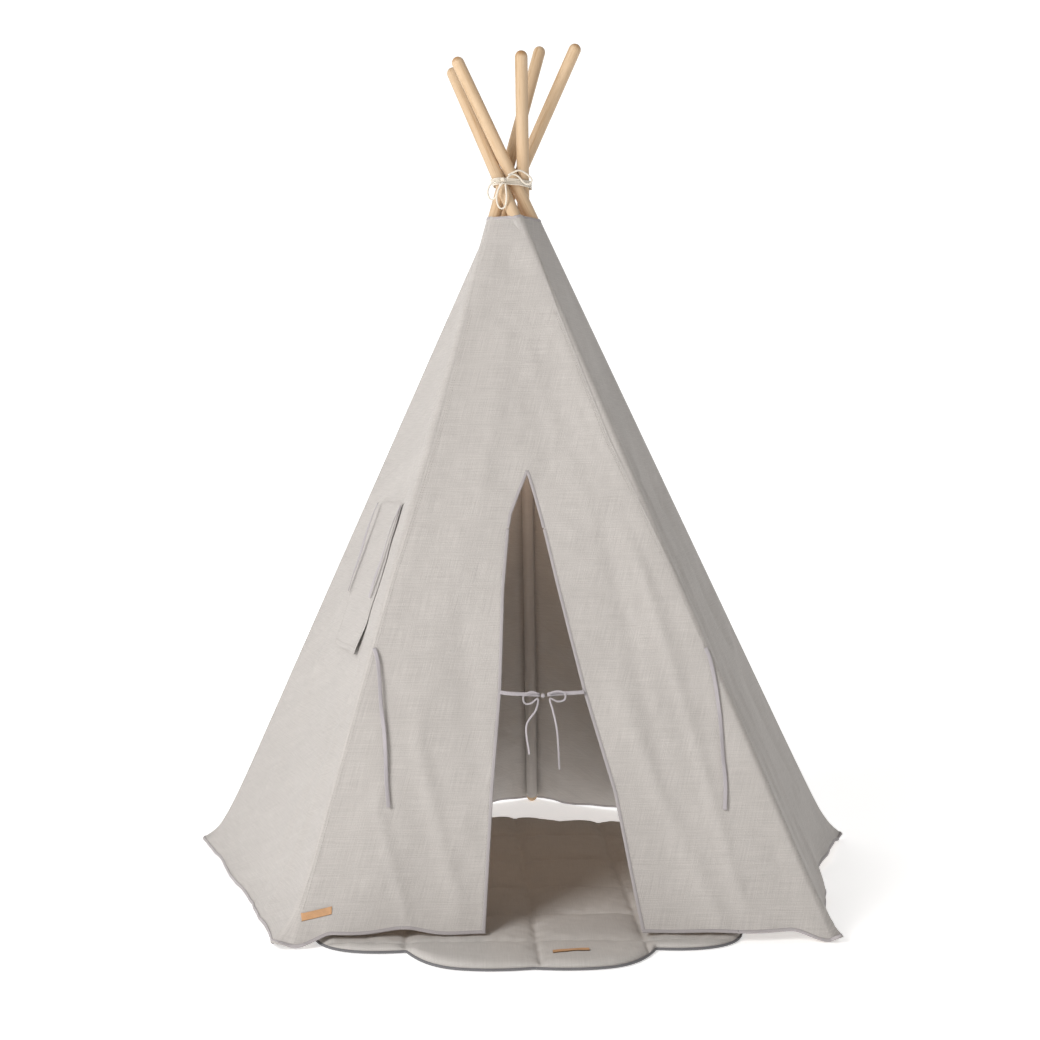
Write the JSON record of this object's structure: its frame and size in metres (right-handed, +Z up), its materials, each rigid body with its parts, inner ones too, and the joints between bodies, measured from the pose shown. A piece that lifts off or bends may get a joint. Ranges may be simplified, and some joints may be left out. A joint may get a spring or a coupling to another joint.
{
  "type": "teepee tent",
  "caption": "Child's teepee play tent: crossed wooden poles lashed at the crown, a linen cover with a slit door and a flap window, and a quilted floor mat.",
  "frame": {"origin": "on the floor under the mat, near the middle of the pole feet", "axes": "+Z up, the slit door faces -Y, the flap window is on the -X side"},
  "size_m": [1.2986, 1.4145, 1.6432],
  "materials": {
    "pine": "fine-sanded bare pine",
    "linen": "plain-weave linen with slubs",
    "binding_tape": "grey cotton bias tape",
    "cotton_rope": "twisted natural cotton",
    "leather": "smooth tan vegetable-tanned leather",
    "quilted_linen": "quilted plain-weave linen",
    "piping": "dark grey piping"
  },
  "bodies": {
    "mat_base": {"mat": "quilted_linen", "mat_piping": "piping", "mat_label": "leather"},
    "cover": {"front_panel": "linen", "side_panel_right": "linen", "rear_panel_right": "linen", "rear_panel_left": "linen", "side_panel_left": "linen", "collar_binding": "binding_tape", "hem_binding": "binding_tape", "slit_binding": "binding_tape", "crown_lashing": "cotton_rope", "crown_knot": "cotton_rope", "crown_loop_left": "cotton_rope", "crown_loop_right": "cotton_rope", "crown_tail": "cotton_rope", "cover_label": "leather", "tieback_left": "binding_tape", "tieback_right": "binding_tape"},
    "door_left": {"door_flap_left": "linen", "door_binding_left": "binding_tape", "door_tie_left": "binding_tape", "door_bow_left": "binding_tape", "door_knot": "binding_tape"},
    "door_right": {"door_flap_right": "linen", "door_binding_right": "binding_tape", "door_tie_right": "binding_tape", "door_bow_right": "binding_tape"},
    "window_cover": {"window_flap": "linen", "window_ribbon_left": "binding_tape", "window_ribbon_right": "binding_tape"},
    "pole_front_left": {"pole_front_left": "pine", "sleeve_front_left": "linen"},
    "pole_front_right": {"pole_front_right": "pine", "sleeve_front_right": "linen"},
    "pole_right": {"pole_right": "pine", "sleeve_right": "linen"},
    "pole_back": {"pole_back": "pine", "sleeve_back": "linen"},
    "pole_left": {"pole_left": "pine", "sleeve_left": "linen"}
  },
  "joints": [
    {"name": "crown_lift", "type": "slide", "parent": "mat_base", "child": "cover", "axis": [0, 0, 1], "range_m": [0, 0.6]},
    {"name": "pole_fold_front_left", "type": "hinge", "parent": "cover", "child": "pole_front_left", "pos_m": [-0.0455, -0.028, 1.352], "axis": [0.8026, -0.5966, 0], "range_deg": [0, 24.31]},
    {"name": "pole_fold_front_right", "type": "hinge", "parent": "cover", "child": "pole_front_right", "pos_m": [-0.052, -0.055, 1.352], "axis": [0.6586, 0.7525, 0], "range_deg": [0, 28.23]},
    {"name": "pole_fold_right", "type": "hinge", "parent": "cover", "child": "pole_right", "pos_m": [-0.0225, -0.042, 1.352], "axis": [-0.3836, 0.9235, 0], "range_deg": [0, 28.5]},
    {"name": "pole_fold_back", "type": "hinge", "parent": "cover", "child": "pole_back", "pos_m": [-0.0065, -0.0205, 1.352], "axis": [-0.9976, 0.0692, 0], "range_deg": [0, 28.43]},
    {"name": "pole_fold_left", "type": "hinge", "parent": "cover", "child": "pole_left", "pos_m": [-0.0235, 0.0005, 1.352], "axis": [-0.3755, -0.9268, 0], "range_deg": [0, 25.95]},
    {"name": "door_left_swing", "type": "hinge", "parent": "cover", "child": "door_left", "pos_m": [-0.042, -0.28761, 0.7], "axis": [-0.2587, -0.3203, -0.9113], "range_deg": [0, 150]},
    {"name": "door_right_swing", "type": "hinge", "parent": "cover", "child": "door_right", "pos_m": [0.018, -0.28861, 0.7], "axis": [-0.4013, 0.3132, 0.8607], "range_deg": [0, 150]},
    {"name": "window_flap_lift", "type": "hinge", "parent": "cover", "child": "window_cover", "pos_m": [-0.26442, -0.09776, 0.73687], "axis": [-0.2802, 0.9599, 0], "range_deg": [0, 150]}
  ],
  "couplings": [
    {"joint": "pole_fold_front_left", "follows": "crown_lift", "rad_per_m": 0.7057},
    {"joint": "pole_fold_front_right", "follows": "crown_lift", "rad_per_m": 0.8197},
    {"joint": "pole_fold_right", "follows": "crown_lift", "rad_per_m": 0.8276},
    {"joint": "pole_fold_back", "follows": "crown_lift", "rad_per_m": 0.8254},
    {"joint": "pole_fold_left", "follows": "crown_lift", "rad_per_m": 0.7534}
  ]
}
